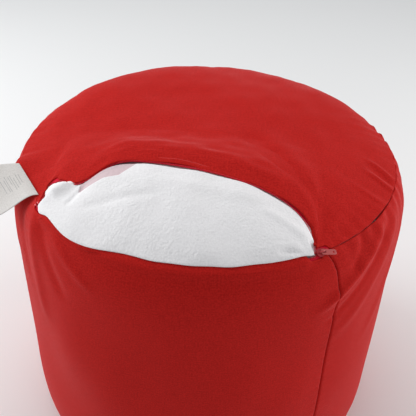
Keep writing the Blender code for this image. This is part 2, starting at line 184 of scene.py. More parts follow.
def swells(x, y, seed, length, count=9):
    """A seeded field of soft waves over two coordinates in metres, about -1 to 1."""
    random = np.random.RandomState(seed)
    total = np.zeros(np.broadcast(x, y).shape)
    for _ in range(count):
        heading = random.uniform(0.0, math.tau)
        wave = math.tau / (length * random.uniform(0.7, 1.5))
        total = total + np.sin(
            wave * (x * math.cos(heading) + y * math.sin(heading)) + random.uniform(0.0, math.tau)
        )
    return total / math.sqrt(count)


def ridge(x, y, start, end, width, height, taper=0.35):
    """A soft crease from start to end: a rounded ridge, or a valley with a negative height."""
    start = np.array(start, dtype=float)
    along = np.array(end, dtype=float) - start
    length = math.hypot(along[0], along[1])
    along /= length
    place = ((x - start[0]) * along[0] + (y - start[1]) * along[1]) / length
    off = (x - start[0]) * along[1] - (y - start[1]) * along[0]
    window = smooth((place + taper / 2.0) / taper) * smooth((1.0 + taper / 2.0 - place) / taper)
    return height * window * np.exp(-((off / width) ** 2))


# ---- The body's shape -----------------------------------------------------------------------
def crown(radius):
    return CROWN_HEIGHT * (1.0 - (np.minimum(radius, RIM_RADIUS) / RIM_RADIUS) ** CROWN_POWER)


def rear_fullness(x, y):
    """How much fuller the crown stands towards the rear, where the filling has not slumped."""
    share = np.minimum(np.hypot(x, y), RIM_RADIUS) / RIM_RADIUS
    fuller = CROWN_HEIGHT * (share ** CROWN_POWER - share ** REAR_CROWN_POWER)
    swell = REAR_SWELL + REAR_LEFT_SWELL * np.exp(-(((x + 0.12) / 0.11) ** 2))
    return (fuller + swell * (1.0 - share ** 10)) * smooth((y + 0.02) / 0.14)


def wall_radius(height):
    drop = (RIM_HEIGHT - height) / SHOULDER
    rise = height / SHOULDER
    return BODY_RADIUS - (BODY_RADIUS - RIM_RADIUS) * (np.exp(-drop) + np.exp(-rise))


def wall_lean(height):
    """Change of the wall's radius with height."""
    step = 0.0001
    return (wall_radius(height + step) - wall_radius(height - step)) / (2.0 * step)


def crown_lean(radius):
    return -CROWN_HEIGHT * CROWN_POWER / RIM_RADIUS * (radius / RIM_RADIUS) ** (CROWN_POWER - 1.0)


def lip_share(azimuth):
    """How far open the zip stands at an azimuth, from 0 at its ends to 1."""
    middle = (LIP_LEFT + LIP_RIGHT) / 2.0
    half = (LIP_RIGHT - LIP_LEFT) / 2.0
    place = np.clip(np.abs(azimuth - middle) / half, 0.0, 1.0)
    arch = (1.0 - place ** 2) ** LIP_ROUNDNESS
    sag = LIP_SAG * np.exp(-(((azimuth - LIP_SAG_AZIMUTH) / LIP_SAG_WIDTH) ** 2))
    return arch * (1.0 - sag)


def lip_columns(x, y):
    """A point's distance forward, and the rim's distance and azimuth straight ahead of it."""
    forward = x * math.cos(LIP_AZIMUTH) + y * math.sin(LIP_AZIMUTH)
    across = -x * math.sin(LIP_AZIMUTH) + y * math.cos(LIP_AZIMUTH)
    across = np.clip(across, -RIM_RADIUS, RIM_RADIUS)
    rim = np.sqrt(RIM_RADIUS ** 2 - across ** 2)
    return forward, across, rim, LIP_AZIMUTH + np.arcsin(across / RIM_RADIUS)


def lip_weight(x, y):
    """The share of the lip's whole move that a point of the closed top panel has made."""
    forward, _, rim, azimuth = lip_columns(x, y)
    reach = np.maximum(rim - LIP_FLAT_MARGIN - LIP_FOLD_START, 0.001)
    place = np.clip((forward - LIP_FOLD_START) / reach, 0.0, 1.0)
    place = np.where(rim - LIP_FLAT_MARGIN - LIP_FOLD_START > 0.0, place, 0.0)
    return lip_share(azimuth) * place ** LIP_FOLD_POWER


def lip_stretch(azimuth):
    """How much longer the lip's line is here than the rim below it."""
    step = math.radians(0.5)
    growth = (lip_share(azimuth + step) - lip_share(azimuth - step)) / (2.0 * step)
    x = -np.sin(azimuth) * RIM_RADIUS + growth * LIP_MOVE[0]
    y = np.cos(azimuth) * RIM_RADIUS + growth * LIP_MOVE[1]
    z = growth * LIP_MOVE[2]
    return np.clip(np.sqrt(x * x + y * y + z * z) / RIM_RADIUS, 1.0, LIP_MAX_STRETCH)


def zip_zone(azimuth):
    """1 where the zip is, 0 along the plain seam, with short ramps between."""
    ramp = math.radians(1.2)
    return smooth((azimuth - TAPE_LEFT) / ramp) * smooth((TAPE_RIGHT - azimuth) / ramp)


def plain_seam(azimuth):
    """1 along the plain rim seam, fading out softly towards the zip."""
    ramp = math.radians(7.0)
    return 1.0 - smooth((azimuth - TAPE_LEFT + ramp) / ramp) * smooth((TAPE_RIGHT + ramp - azimuth) / ramp)


def rim_frame(azimuth, height=-ZIP_DEPTH):
    """Matrix on the rim: X along the seam, Y inwards up the zip's plane, Z square out of it."""
    radial = Vector((math.cos(azimuth), math.sin(azimuth), 0.0))
    along = Vector((-math.sin(azimuth), math.cos(azimuth), 0.0))
    outward = math.sin(ZIP_TILT) * radial + math.cos(ZIP_TILT) * Vector((0.0, 0.0, 1.0))
    matrix = Matrix((along, outward.cross(along), outward)).transposed().to_4x4()
    matrix.translation = RIM_RADIUS * radial + Vector((0.0, 0.0, RIM_HEIGHT)) + height * outward
    return matrix


def placket(azimuth):
    """1 where the hems close in over the coils, 0 beside the zip's ends, clear of the slider."""
    left = smooth((azimuth - LIP_LEFT - math.radians(2.6)) / math.radians(2.6))
    right = smooth((LIP_RIGHT - math.radians(0.2) - azimuth) / math.radians(2.4))
    return left * right


def front_edge(azimuth):
    """How far out over the wall the liner's front edge stands; negative is back from the zip's line."""
    sag = np.exp(-(((azimuth - LINER_SAG_AZIMUTH) / LINER_SAG_WIDTH) ** 2))
    ear = np.exp(-(((azimuth - LINER_EAR_AZIMUTH) / LINER_EAR_WIDTH) ** 2))
    corner = np.exp(-(((azimuth - LINER_CORNER_AZIMUTH) / LINER_CORNER_WIDTH) ** 2))
    return LINER_EDGE + LINER_SAG * sag + LINER_EAR * ear + LINER_CORNER * corner


def seam_pull(points):
    """Points of the cloth near the care label, moved by the label's pull on its seam."""
    moved = points.copy()
    for azimuth, reach, move in (LABEL_DENT, LABEL_PEAK):
        centre = np.array([RIM_RADIUS * math.cos(azimuth), RIM_RADIUS * math.sin(azimuth), RIM_HEIGHT])
        far = np.linalg.norm(points - centre, axis=-1) / reach
        moved = moved + np.exp(-(far ** 2))[..., None] * np.array(move)
    return moved


def around(fine=260, plain=560):
    """Azimuths once around from the right side seam, closer together along the zip."""
    left = LIP_LEFT - math.radians(1.0)
    right = LIP_RIGHT + math.radians(1.0)
    places = (1.0 - np.cos(np.linspace(0.0, math.pi, fine))) / 2.0
    opening = left + (right - left) * places
    before = np.linspace(SIDE_SEAMS[0] - math.tau, left, plain)[:-1]
    after = np.linspace(right, SIDE_SEAMS[0], 24)[1:]
    return np.concatenate([before, opening, after])


# ---- Meshes ---------------------------------------------------------------------------------
def sheet_mesh(name, points, uv, closed=False, thickness=None, body="root", pole=False):
    """A grid of points (columns, rows, 3) as a smooth mesh object with a UV map in metres."""
    columns, rows = points.shape[:2]
    index = np.arange(columns * rows).reshape(columns, rows)
    ahead = np.roll(index, -1, axis=0) if closed else index[1:]
    here = index if closed else index[:-1]
    quads = np.stack([here[:, :-1], ahead[:, :-1], ahead[:, 1:], here[:, 1:]], axis=-1)
    quads = quads.reshape(-1, 4)
    mesh = bpy.data.meshes.new(name)
    mesh.from_pydata(points.reshape(-1, 3).tolist(), [], quads.tolist())
    layer = mesh.uv_layers.new(name="Cloth")
    corners = np.empty(len(mesh.loops), dtype=np.int32)
    mesh.loops.foreach_get("vertex_index", corners)
    layer.data.foreach_set("uv", uv.reshape(-1, 2)[corners].astype(np.float32).ravel())
    if pole:
        weld(mesh)
    mesh.shade_smooth()
    obj = bpy.data.objects.new(name, mesh)
    bpy.context.scene.collection.objects.link(obj)
    if thickness:
        shell = obj.modifiers.new("Cloth", "SOLIDIFY")
        shell.thickness = thickness
        shell.offset = -1.0
    if body:
        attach(obj, body)
    return obj


def weld(mesh):
    """Joins the points that a closed grid holds twice."""
    work = bmesh.new()
    work.from_mesh(mesh)
    bmesh.ops.remove_doubles(work, verts=work.verts, dist=0.000001)
    work.to_mesh(mesh)
    work.free()


def set_weights(obj, weights):
    """Puts a piece's own blend weights, one for each vertex, in place of the straight ramp."""
    field = obj.data.attributes["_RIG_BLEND"]
    field.data.foreach_set("value", np.asarray(weights, dtype=np.float32))


def rolled_edge(edge, tangent, normal, zone, rows):
    """Rows of a cloth edge that rolls under: a seam turned in, or in the zip's zone a hem."""
    turn = math.pi / 2.0 * (1.0 + zone)
    depth = SEAM_DEPTH + (HEM_DEPTH - SEAM_DEPTH) * zone
    points = []
    for place in np.linspace(0.0, 1.0, rows + 1)[1:]:
        angle = turn * place
        out = EDGE_ROLL * np.sin(angle)
        down = EDGE_ROLL * (1.0 - np.cos(angle))
        points.append(edge + out[..., None] * tangent - down[..., None] * normal)
    leave = np.cos(turn)[..., None] * tangent - np.sin(turn)[..., None] * normal
    for place in (0.4, 1.0):
        points.append(points[rows - 1] + (place * depth)[..., None] * leave)
    return points


def pucker(azimuth, seed=3):
    """Short gathers of cloth across a seam, stronger in some stretches than in others."""
    gathers = rings(azimuth, seed, 48, 84, 6)
    envelope = 0.5 + 0.5 * rings(azimuth, seed + 1, 3, 9, 5)
    right = np.exp(-(((azimuth + math.radians(8.0)) / math.radians(26.0)) ** 2))
    return 0.0008 * gathers * (0.15 + 0.45 * np.clip(envelope, 0.0, 1.2) + 1.3 * right)


# ---- Cover: top panel -------------------------------------------------------------------------
def top_relief(x, y, azimuth, distance_in):
    """Height of the folds and puckers over the plain dome."""
    relief = rear_fullness(x, y) + 0.0012 * swells(x, y, 11, 0.16)
    relief = relief + 0.0004 * swells(x, y, 12, 0.05)
    relief = relief + plain_seam(azimuth) * pucker(azimuth) * np.exp(-distance_in / PUCKER_REACH_TOP)
    relief = relief + ridge(x, y, (0.045, -0.020), (0.092, -0.150), 0.016, -0.0022)
    relief = relief + ridge(x, y, (0.075, -0.020), (0.120, -0.135), 0.016, 0.0020)
    for heading, height in ((24.0, 0.0010), (42.0, -0.0011), (62.0, 0.0012), (80.0, -0.0009)):
        turn = math.radians(heading)
        start = (0.119 + 0.006 * math.cos(turn), -0.192 + 0.006 * math.sin(turn))
        end = (0.119 + 0.060 * math.cos(turn), -0.192 + 0.060 * math.sin(turn))
        relief = relief + ridge(x, y, start, end, 0.0055, height, 0.8)
    for start, end, width, height in (
        ((0.194, -0.036), (0.219, -0.062), 0.0036, 0.0022),
        ((0.192, -0.050), (0.217, -0.075), 0.0036, -0.0020),
        ((0.189, -0.062), (0.215, -0.087), 0.0036, 0.0021),
        ((0.170, -0.096), (0.200, -0.118), 0.0045, 0.0012),
    ):
        relief = relief + ridge(x, y, start, end, width, height, 0.7)
    relief = relief + COIL_LIFT * placket(azimuth) * np.exp(-distance_in / 0.010)
    return np.maximum(relief, -DEEPEST_DIP_TOP)


def lip_setback(azimuth):
    """How far the top panel's hem stands back from the zip's line, with slivers of tape left bare."""
    bare = np.clip(0.45 + 0.5 * rings(azimuth, 71, 9, 24, 5), 0.0, 1.0)
    closed = LIP_HEM_MIN + LIP_HEM_WAVE * bare
    return COVER_SETBACK + (closed - COVER_SETBACK) * placket(azimuth)


def cover_top():
    azimuth = around()[:-1]
    count = len(azimuth)
    main = 1.0 - np.linspace(0.0, 1.0, 110) ** 1.7
    setback = 0.0002 + lip_setback(azimuth) * zip_zone(azimuth) + EDGE_ROLL
    distance_in = setback[:, None] + (RIM_RADIUS - setback)[:, None] * main[None, :]
    radius = RIM_RADIUS - distance_in
    grid = np.broadcast_to(azimuth[:, None], radius.shape)
    x = radius * np.cos(grid)
    y = radius * np.sin(grid)
    z = RIM_HEIGHT + crown(radius) + top_relief(x, y, grid, distance_in)
    points = np.stack([x, y, z], axis=-1)
    lean = crown_lean(radius[:, -1])
    length = np.hypot(1.0, lean)
    radial = np.stack([np.cos(azimuth), np.sin(azimuth), np.zeros(count)], axis=-1)
    upright = np.array([0.0, 0.0, 1.0])
    tangent = (radial + lean[:, None] * upright) / length[:, None]
    normal = (upright - lean[:, None] * radial) / length[:, None]
    hem = rolled_edge(points[:, -1], tangent, normal, zip_zone(azimuth), 5)
    edge_weight = lip_weight(points[:, -1, 0], points[:, -1, 1])
    weights = lip_weight(points[..., 0], points[..., 1])
    weights = np.concatenate([weights, np.repeat(edge_weight[:, None], len(hem), axis=1)], axis=1)
    points = np.concatenate([points, np.stack(hem, axis=1)], axis=1)
    points = seam_pull(points) + weights[..., None] * LIP_MOVE
    uv = points[..., :2] + 0.0
    uv[:, 110:, :] += np.arange(1, len(hem) + 1)[None, :, None] * 0.001
    points = np.flip(points, axis=1)
    uv = np.flip(uv, axis=1)
    weights = np.flip(weights, axis=1)
    panel = sheet_mesh("cover_top", points, uv, closed=True, thickness=COVER_CLOTH, body=None)
    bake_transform(panel, "root", "top_lip", start=(0.0, 0.1, 0.4), end=(0.0, -0.2, 0.4))
    set_weights(panel, weights.ravel())
    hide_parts("top_panel")
    return panel


# ---- Cover: wall ------------------------------------------------------------------------------
def arc(azimuth_degrees):
    return math.radians(azimuth_degrees) * BODY_RADIUS


def wall_relief(azimuth, height):
    """How far the wall's folds, puckers and seams stand out of its plain turned shape."""
    along = azimuth * BODY_RADIUS
    drop = RIM_HEIGHT - height
    plain = plain_seam(azimuth)
    belly = np.sin(np.clip(drop / RIM_HEIGHT, 0.0, 1.0) * math.pi)
    relief = 0.0014 * belly * swells(along, height, 21, 0.20)
    relief = relief + 0.0004 * belly * swells(along, height * 0.35, 22, 0.055)
    relief = relief + (0.15 + 0.85 * plain) * pucker(azimuth) * np.exp(-drop / PUCKER_REACH_WALL)
    relief = relief + pucker(azimuth, 31) * np.exp(-height / PUCKER_REACH_WALL)
    creases = (
        (-35.5, 0.395, -59.0, 0.336, 0.0075, 0.0044),
        (-26.0, 0.392, -52.0, 0.285, 0.0100, 0.0022),
        (-32.5, 0.386, -56.0, 0.312, 0.0060, -0.0020),
        (-12.0, 0.385, -38.0, 0.240, 0.0120, 0.0018),
        (-44.0, 0.398, -50.0, 0.368, 0.0045, -0.0014),
        (-136.0, 0.398, -119.0, 0.352, 0.0075, 0.0018),
        (-139.0, 0.390, -129.0, 0.320, 0.0090, -0.0020),
        (-143.0, 0.395, -139.0, 0.260, 0.0100, 0.0022),
        (-151.0, 0.396, -147.0, 0.300, 0.0100, -0.0018),
        (-158.0, 0.396, -156.0, 0.310, 0.0100, 0.0014),
    )
    for start, start_height, end, end_height, width, depth in creases:
        relief = relief + ridge(
            along, height, (arc(start), start_height), (arc(end), end_height), width, depth
        )
    return np.maximum(relief, -DEEPEST_DIP_WALL)


def side_seam_relief(azimuth, height, edge):
    """A seam's turned-in edge, with short gathers along it."""
    off = np.abs(azimuth - edge) * BODY_RADIUS
    groove = -0.0016 * np.exp(-((off / 0.0011) ** 2))
    gathers = 0.0004 * np.sin(height * math.tau / 0.011) * np.sin(height * math.tau / 0.047 + 1.0)
    return groove + gathers * np.exp(-off / 0.012)


def seam_swing(azimuth, drop):
    """The right side seam's swing towards the slider just under the rim."""
    near = np.exp(-(((azimuth - SIDE_SEAMS[0]) / math.radians(8.0)) ** 2))
    return SIDE_SEAM_SWING * near * np.exp(-drop / SIDE_SEAM_SWING_DROP)


def placket_reach(edge, azimuth, closed):
    """The move that brings the wall's hem up over the lower coil, under the liner's front edge."""
    radial = np.stack([np.cos(azimuth), np.sin(azimuth), np.zeros_like(azimuth)], axis=-1)
    out = (edge * radial).sum(axis=-1) - RIM_RADIUS
    up = edge[:, 2] - RIM_HEIGHT
    slope = out * math.cos(ZIP_TILT) - up * math.sin(ZIP_TILT)
    proud = out * math.sin(ZIP_TILT) + up * math.cos(ZIP_TILT)
    along_zip = closed * (front_edge(azimuth) - HEM_UNDER_LINER - slope)
    off_zip = closed * (HEM_HEIGHT - proud)
    outward = along_zip * math.cos(ZIP_TILT) + off_zip * math.sin(ZIP_TILT)
    upward = off_zip * math.cos(ZIP_TILT) - along_zip * math.sin(ZIP_TILT)
    return outward[:, None] * radial + upward[:, None] * np.array([0.0, 0.0, 1.0])


def over_coil(points, radial, closed):
    """The lift that lays the wall's hem flat over the coil before it bends down the wall."""
    out = (points * radial).sum(axis=-1) - RIM_RADIUS
    up = points[..., 2] - RIM_HEIGHT
    slope = out * math.cos(ZIP_TILT) - up * math.sin(ZIP_TILT)
    proud = out * math.sin(ZIP_TILT) + up * math.cos(ZIP_TILT)
    past = np.maximum(slope - HEM_FLAT_END, 0.0)
    lift = np.maximum(HEM_HEIGHT - past ** 2 / (2.0 * HEM_BEND) - proud, 0.0) * closed[:, None]
    lift = lift * (slope < 0.014)
    upright = np.array([0.0, 0.0, 1.0])
    return lift[..., None] * (math.sin(ZIP_TILT) * radial + math.cos(ZIP_TILT) * upright)


def cover_wall(name, node, start, end, columns):
    """One wall panel between two side seams; its top edge rolls in, as a hem along the zip."""
    azimuth = np.linspace(start, end, columns)
    zone = zip_zone(azimuth)
    closed = placket(azimuth)
    places = np.linspace(0.0, 1.0, 150)
    spread = smooth(places) * 0.55 + places * 0.45
    top_drop = 0.0004 + EDGE_ROLL * 0.8 + 0.0038 * zone
    bottom = 0.0016
    drop = top_drop[:, None] + (RIM_HEIGHT - bottom - top_drop)[:, None] * spread[None, :]
    height = RIM_HEIGHT - drop
    plain_grid = np.broadcast_to(azimuth[:, None], height.shape)
    relief = wall_relief(plain_grid, height)
    relief = relief + side_seam_relief(plain_grid, height, start)
    relief = relief + side_seam_relief(plain_grid, height, end)
    grid = plain_grid + seam_swing(plain_grid, drop)
    lean = wall_lean(height)
    length = np.hypot(1.0, lean)
    radial = np.stack([np.cos(grid), np.sin(grid), np.zeros_like(grid)], axis=-1)
    upright = np.array([0.0, 0.0, 1.0])
    normal = (radial - lean[..., None] * upright) / length[..., None]
    points = wall_radius(height)[..., None] * radial + height[..., None] * upright
    points = points + relief[..., None] * normal
    points = points + placket_reach(points[:, 0], azimuth, closed)[:, None, :] * (
        (1.0 - np.clip((drop - top_drop[:, None]) / HEM_REACH, 0.0, 1.0)) ** 2
    )[..., None]
    points = points + over_coil(points, radial, closed)
    tangent = points[:, 0] - points[:, 1]
    tangent = tangent / np.linalg.norm(tangent, axis=-1)[:, None]
    edge_out = (tangent * radial[:, 0]).sum(axis=-1)
    edge_normal = tangent[:, 2, None] * radial[:, 0] - edge_out[:, None] * upright
    hem = rolled_edge(points[:, 0], tangent, edge_normal, zone, 5)
    points = seam_pull(np.concatenate([np.stack(hem[::-1], axis=1), points], axis=1))
    rows = points.shape[1]
    uv = np.empty((columns, rows, 2))
    uv[..., 0] = azimuth[:, None] * BODY_RADIUS
    steps = np.linalg.norm(np.diff(points, axis=1), axis=-1)
    uv[:, 0, 1] = 0.0
    uv[:, 1:, 1] = np.cumsum(steps, axis=1)
    panel = sheet_mesh(name, np.flip(points, axis=1), np.flip(uv, axis=1), thickness=COVER_CLOTH)
    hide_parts(node)
    return panel


def cover_base():
    """The flat bottom panel, with the seam's gathers just inside its edge."""
    azimuth = np.linspace(0.0, math.tau, 361)[:-1]
    radius = RIM_RADIUS * np.linspace(1.0, 0.0, 60) ** 0.7
    grid = np.broadcast_to(azimuth[:, None], (360, 60))
    gathers = np.maximum(1.0 + rings(grid, 41, 60, 110), 0.0)
    lift = 0.0006 * np.exp(-(RIM_RADIUS - radius)[None, :] / 0.010) * gathers
    points = np.stack(
        [radius[None, :] * np.cos(grid), radius[None, :] * np.sin(grid), lift + 0.0001], axis=-1
    )
    uv = points[..., :2] + 0.0
    points = np.flip(points, axis=1)
    uv = np.flip(uv, axis=1)
    panel = sheet_mesh("cover_base", points, uv, closed=True, thickness=BASE_CLOTH, pole=True)
    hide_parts("base_panel")
    return panel


# ---- Liner bag --------------------------------------------------------------------------------
LINER_FRONT_HEIGHT = 0.0050
LINER_PUFF = 0.0085
LIP_UNDERSIDE = 0.0029
LINER_HIDDEN_SLACK = 0.0015
LINER_FRONT_MARGIN = 0.013
LINER_EDGE_ROLL = (
    (-9.2, 3.0), (-7.0, 3.0), (-4.9, 2.9), (-3.2, 2.8), (-1.6, 2.6), (-0.5, 2.3), (0.0, 1.9), (-0.2, 1.5),
    (-0.9, 1.2), (-2.0, 1.1), (-3.0, 0.8), (-3.8, -0.4), (-4.4, -2.4), (-5.0, -5.6),
)
FLAP_FOLD = ((-0.141, -0.134), (-0.115, -0.121), (-0.098, -0.120), (-0.084, -0.103), (-0.064, -0.084))
EAR_BULGE = ((-0.173, -0.132), (-0.150, -0.112), 0.0085, 0.0052)
FLAP_DROP = 0.0014


def flap_share(x, y):
    """1 on the thin single layer of liner cloth behind the fold, near the lip's left half."""
    inside = np.zeros(np.broadcast(x, y).shape)
    for (x0, y0), (x1, y1) in zip(FLAP_FOLD[:-1], FLAP_FOLD[1:]):
        share = np.clip((x - x0) / (x1 - x0), 0.0, 1.0)
        within = (x >= x0) & (x < x1)
        behind = (y - (y0 + share * (y1 - y0))) * math.cos(math.radians(35.0))
        inside = np.where(within, smooth((behind + 0.0008) / 0.0016), inside)
    return inside


def liner_top_height(x, y):
    """Height of the liner's top: the plain dome, swollen up to the lip where the zip is open."""
    forward, across, rim, azimuth = lip_columns(x, y)
    share = lip_share(azimuth)
    lip = rim - share * LIP_BACK
    opening = np.maximum(share * LIP_BACK, 0.0005)
    place = (forward - lip) / opening
    behind = (forward - lip) / 0.045
    dome = crown(np.hypot(x, y)) - LINER_DEPTH
    lip_dome = crown(np.hypot(lip, across)) - LINER_DEPTH
    lip_height = share * LIP_RISE - LIP_UNDERSIDE
    under = dome + np.maximum(lip_height - lip_dome, 0.0) * np.exp(np.minimum(behind, 0.0))
    inside = np.clip(place, 0.0, 1.0)
    front = LINER_FRONT_HEIGHT * smooth(share / 0.4)
    full = lip_height * (1.0 - inside) + front * inside
    full = full + LINER_PUFF * share * 4.0 * inside * (1.0 - inside)
    full = full + LIP_UNDERSIDE * smooth((forward - lip) / 0.0030) * (1.0 - inside)
    swollen = np.where(place > 0.0, np.maximum(full, dome), under)
    return RIM_HEIGHT + swollen - LINER_HIDDEN_SLACK * smooth(-behind + 0.1)


def liner_relief(x, y, open_share):
    """Soft creases of the filled liner, and the small bumps of the beads against its cloth."""
    relief = 0.0009 * swells(x, y, 51, 0.07)
    relief = relief + 0.00008 * swells(x, y, 52, 0.020, 14)
    relief = relief + 0.00004 * swells(x, y, 53, 0.007, 20)
    relief = relief + ridge(x, y, (0.0715, -0.2120), (0.0960, -0.2075), 0.0016, -0.0020)
    relief = relief + ridge(x, y, (0.0715, -0.2080), (0.0960, -0.2035), 0.0028, 0.0012)
    relief = relief + ridge(x, y, (0.060, -0.165), (0.105, -0.190), 0.0060, 0.0014)
    relief = relief + ridge(x, y, (-0.150, -0.150), (-0.135, -0.125), 0.0035, -0.0014)
    relief = relief + ridge(x, y, (-0.135, -0.160), (-0.060, -0.150), 0.0060, -0.0012)
    relief = relief + ridge(x, y, (-0.060, -0.130), (0.050, -0.150), 0.0090, 0.0012)
    forward, _, rim, azimuth = lip_columns(x, y)
    past_lip = forward - rim + lip_share(azimuth) * LIP_BACK
    relief = relief - FLAP_DROP * flap_share(x, y) * smooth(past_lip / 0.010)
    return relief * open_share + ridge(x, y, *EAR_BULGE)


def liner_bag():
    azimuth = around(420, 300)
    count = len(azimuth)
    share = lip_share(azimuth)
    openness = smooth(share / 0.15)
    top_rows = 150
    radius = (RIM_RADIUS - LINER_FRONT_MARGIN) * np.linspace(0.0, 1.0, top_rows) ** 0.62
    radius = np.broadcast_to(radius[None, :], (count, top_rows))
    grid = np.broadcast_to(azimuth[:, None], radius.shape)
    x = radius * np.cos(grid)
    y = radius * np.sin(grid)
    _, _, _, column = lip_columns(x, y)
    z = liner_top_height(x, y) + liner_relief(x, y, smooth(lip_share(column) / 0.3))
    top = np.stack([x, y, z], axis=-1)

    radial = np.stack([np.cos(azimuth), np.sin(azimuth), np.zeros(count)], axis=-1)
    upright = np.array([0.0, 0.0, 1.0])
    outward = math.cos(ZIP_TILT) * radial - math.sin(ZIP_TILT) * upright
    proud = math.sin(ZIP_TILT) * radial + math.cos(ZIP_TILT) * upright
    corner = RIM_RADIUS * radial + RIM_HEIGHT * upright
    wobble = 0.0005 * rings(azimuth, 61, 20, 44)
    reach = front_edge(azimuth)
    edge = []
    for number, (out, height) in enumerate(LINER_EDGE_ROLL):
        closed_out = -9.5 + 1.25 * number
        hangs = 1.0 if number < 10 else 0.0
        across = (1.0 - openness) * closed_out * 0.001 + openness * (out * 0.001 + reach + wobble * hangs)
        above = ((1.0 - openness) * -5.7 + openness * height) * 0.001 + 0.5 * wobble * hangs * openness
        place = corner + across[:, None] * outward + above[:, None] * proud
        fade = max(0.0, 1.0 - number / 5.0) * openness
        above = liner_relief(place[:, 0], place[:, 1], 1.0) * fade
        edge.append(place + above[:, None] * proud)
    drops = np.concatenate(
        [np.linspace(0.014, 0.06, 12), np.linspace(0.08, 0.34, 18), np.linspace(0.36, 0.392, 8)]
    )
    wall = []
    for drop in drops:
        height = RIM_HEIGHT - drop
        lean = float(wall_lean(height))
        length = math.hypot(1.0, lean)
        depth = LINER_DEPTH + 0.0025
        inner = float(wall_radius(height)) - depth / length
        sway = 0.0005 * rings(azimuth, 63, 8, 30)
        wall.append((inner + sway)[:, None] * radial + (height + LINER_DEPTH * lean / length) * upright)
    floor = [(RIM_RADIUS - 0.006) * place * radial + 0.0026 * upright for place in (1.0, 0.8, 0.5, 0.2, 0.0)]
    rows = np.stack(edge + wall + floor, axis=1)
    points = seam_pull(np.concatenate([top, rows], axis=1))
    uv = np.empty(points.shape[:2] + (2,))
    uv[:, :top_rows] = top[..., :2]
    steps = np.linalg.norm(np.diff(points[:, top_rows - 1 :], axis=1), axis=-1)
    beyond = np.cumsum(steps, axis=1)
    uv[:, top_rows:, 0] = top[:, -1:, 0] + beyond * np.cos(azimuth)[:, None]
    uv[:, top_rows:, 1] = top[:, -1:, 1] + beyond * np.sin(azimuth)[:, None]
    bag = sheet_mesh("liner_bag", np.flip(points, axis=1), np.flip(uv, axis=1), body=None)
    # This mask of the thin layer also carries the liner material's painted see-through shade.
    thin = np.zeros(points.shape[:2])
    thin[:, :top_rows] = flap_share(x, y)
    layer = bag.data.attributes.new("thin_layer", "FLOAT", "POINT")
    layer.data.foreach_set("value", np.flip(thin, axis=1).astype(np.float32).ravel())
    weld(bag.data)
    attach(bag, "root")
    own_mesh(bag)
    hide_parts("liner_top", "liner_wall", "liner_base")
    return bag


# ---- Zip --------------------------------------------------------------------------------------
def coil_turns(name, node, side, carried):
    """One nylon coil: a helix whose turns stand across the zip."""
    pitch = 0.0013
    length = (COIL_RIGHT - COIL_LEFT) * RIM_RADIUS
    turns = int(length / pitch)
    steps = turns * 8
    azimuths = COIL_LEFT + (COIL_RIGHT - COIL_LEFT) * np.arange(steps + 1) / steps
    curve = bpy.data.curves.new(name, "CURVE")
    curve.dimensions = "3D"
    curve.bevel_depth = COIL_WIRE
    curve.bevel_resolution = 1
    curve.use_fill_caps = True
    spline = curve.splines.new("POLY")
    spline.points.add(steps)
    shares = lip_share(azimuths)
    lifts = UPPER_COIL_LIFT * placket(azimuths) * (1.0 if carried else 0.0)
    for index, point in enumerate(spline.points):
        angle = math.tau * index / 8.0
        across = side * COIL_OFFSET + (COIL_RADIUS - COIL_WIRE) * math.cos(angle)
        above = (COIL_RADIUS - COIL_WIRE) * math.sin(angle) + float(lifts[index])
        point.co = (*(rim_frame(float(azimuths[index])) @ Vector((0.0, across, above))), 1.0)
    obj = bpy.data.objects.new(name, curve)
    bpy.context.scene.collection.objects.link(obj)
    mesh = bpy.data.meshes.new_from_object(obj.evaluated_get(bpy.context.evaluated_depsgraph_get()))
    bpy.data.objects.remove(obj, do_unlink=True)
    mesh.shade_smooth()
    mesh.name = name
    piece = bpy.data.objects.new(name, mesh)
    bpy.context.scene.collection.objects.link(piece)
    if carried:
        weights = np.zeros(len(mesh.vertices))
        along = np.repeat(shares, len(mesh.vertices) // (steps + 1))
        weights[: len(along)] = along
        places = np.empty(len(weights) * 3)
        mesh.vertices.foreach_get("co", places)
        mesh.vertices.foreach_set("co", places + (weights[:, None] * LIP_MOVE).ravel())
        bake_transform(piece, "root", "top_lip", start=(0.0, 0.1, 0.4), end=(0.0, -0.2, 0.4))
        set_weights(piece, weights)
    else:
        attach(piece, "root")
    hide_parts(node)
    return piece


def upper_tape():
    """The tape along the lip: it follows the panel's underside, a little behind the coil."""
    azimuth = TAPE_LEFT + (TAPE_RIGHT - TAPE_LEFT) * (1.0 - np.cos(np.linspace(0.0, math.pi, 260))) / 2.0
    distances = np.array([0.0020, 0.0032, 0.0048, 0.0068, 0.0090, 0.0112])
    inward = np.minimum(distances[None, :] * lip_stretch(azimuth)[:, None], 0.030)
    radius = RIM_RADIUS - inward
    x = radius * np.cos(azimuth)[:, None]
    y = radius * np.sin(azimuth)[:, None]
    z = RIM_HEIGHT + crown(radius) - TAPE_DEPTH * 1.05
    weights = lip_weight(x, y)
    points = np.stack([x, y, z], axis=-1) + weights[..., None] * LIP_MOVE
    uv = np.stack(
        np.broadcast_arrays(azimuth[:, None] * RIM_RADIUS, distances[None, :]), axis=-1
    )
    tape = sheet_mesh("upper_tape", points, uv, thickness=0.0005, body=None)
    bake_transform(tape, "root", "top_lip", start=(0.0, 0.1, 0.4), end=(0.0, -0.2, 0.4))
    set_weights(tape, weights.ravel())
    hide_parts("zip_tape_upper")
    return tape


def rounded(middle, half_length, half_width, corner):
    """A rounded rectangle's outline, five points to a corner."""
    points = []
    for quarter in range(4):
        for step in range(5):
            angle = math.pi / 2.0 * (quarter + step / 4.0)
            side_x = 1.0 if quarter in (0, 3) else -1.0
            side_y = 1.0 if quarter in (0, 1) else -1.0
            x = middle + side_x * (half_length - corner) + corner * math.cos(angle)
            points.append((x, side_y * (half_width - corner) + corner * math.sin(angle)))
    return points


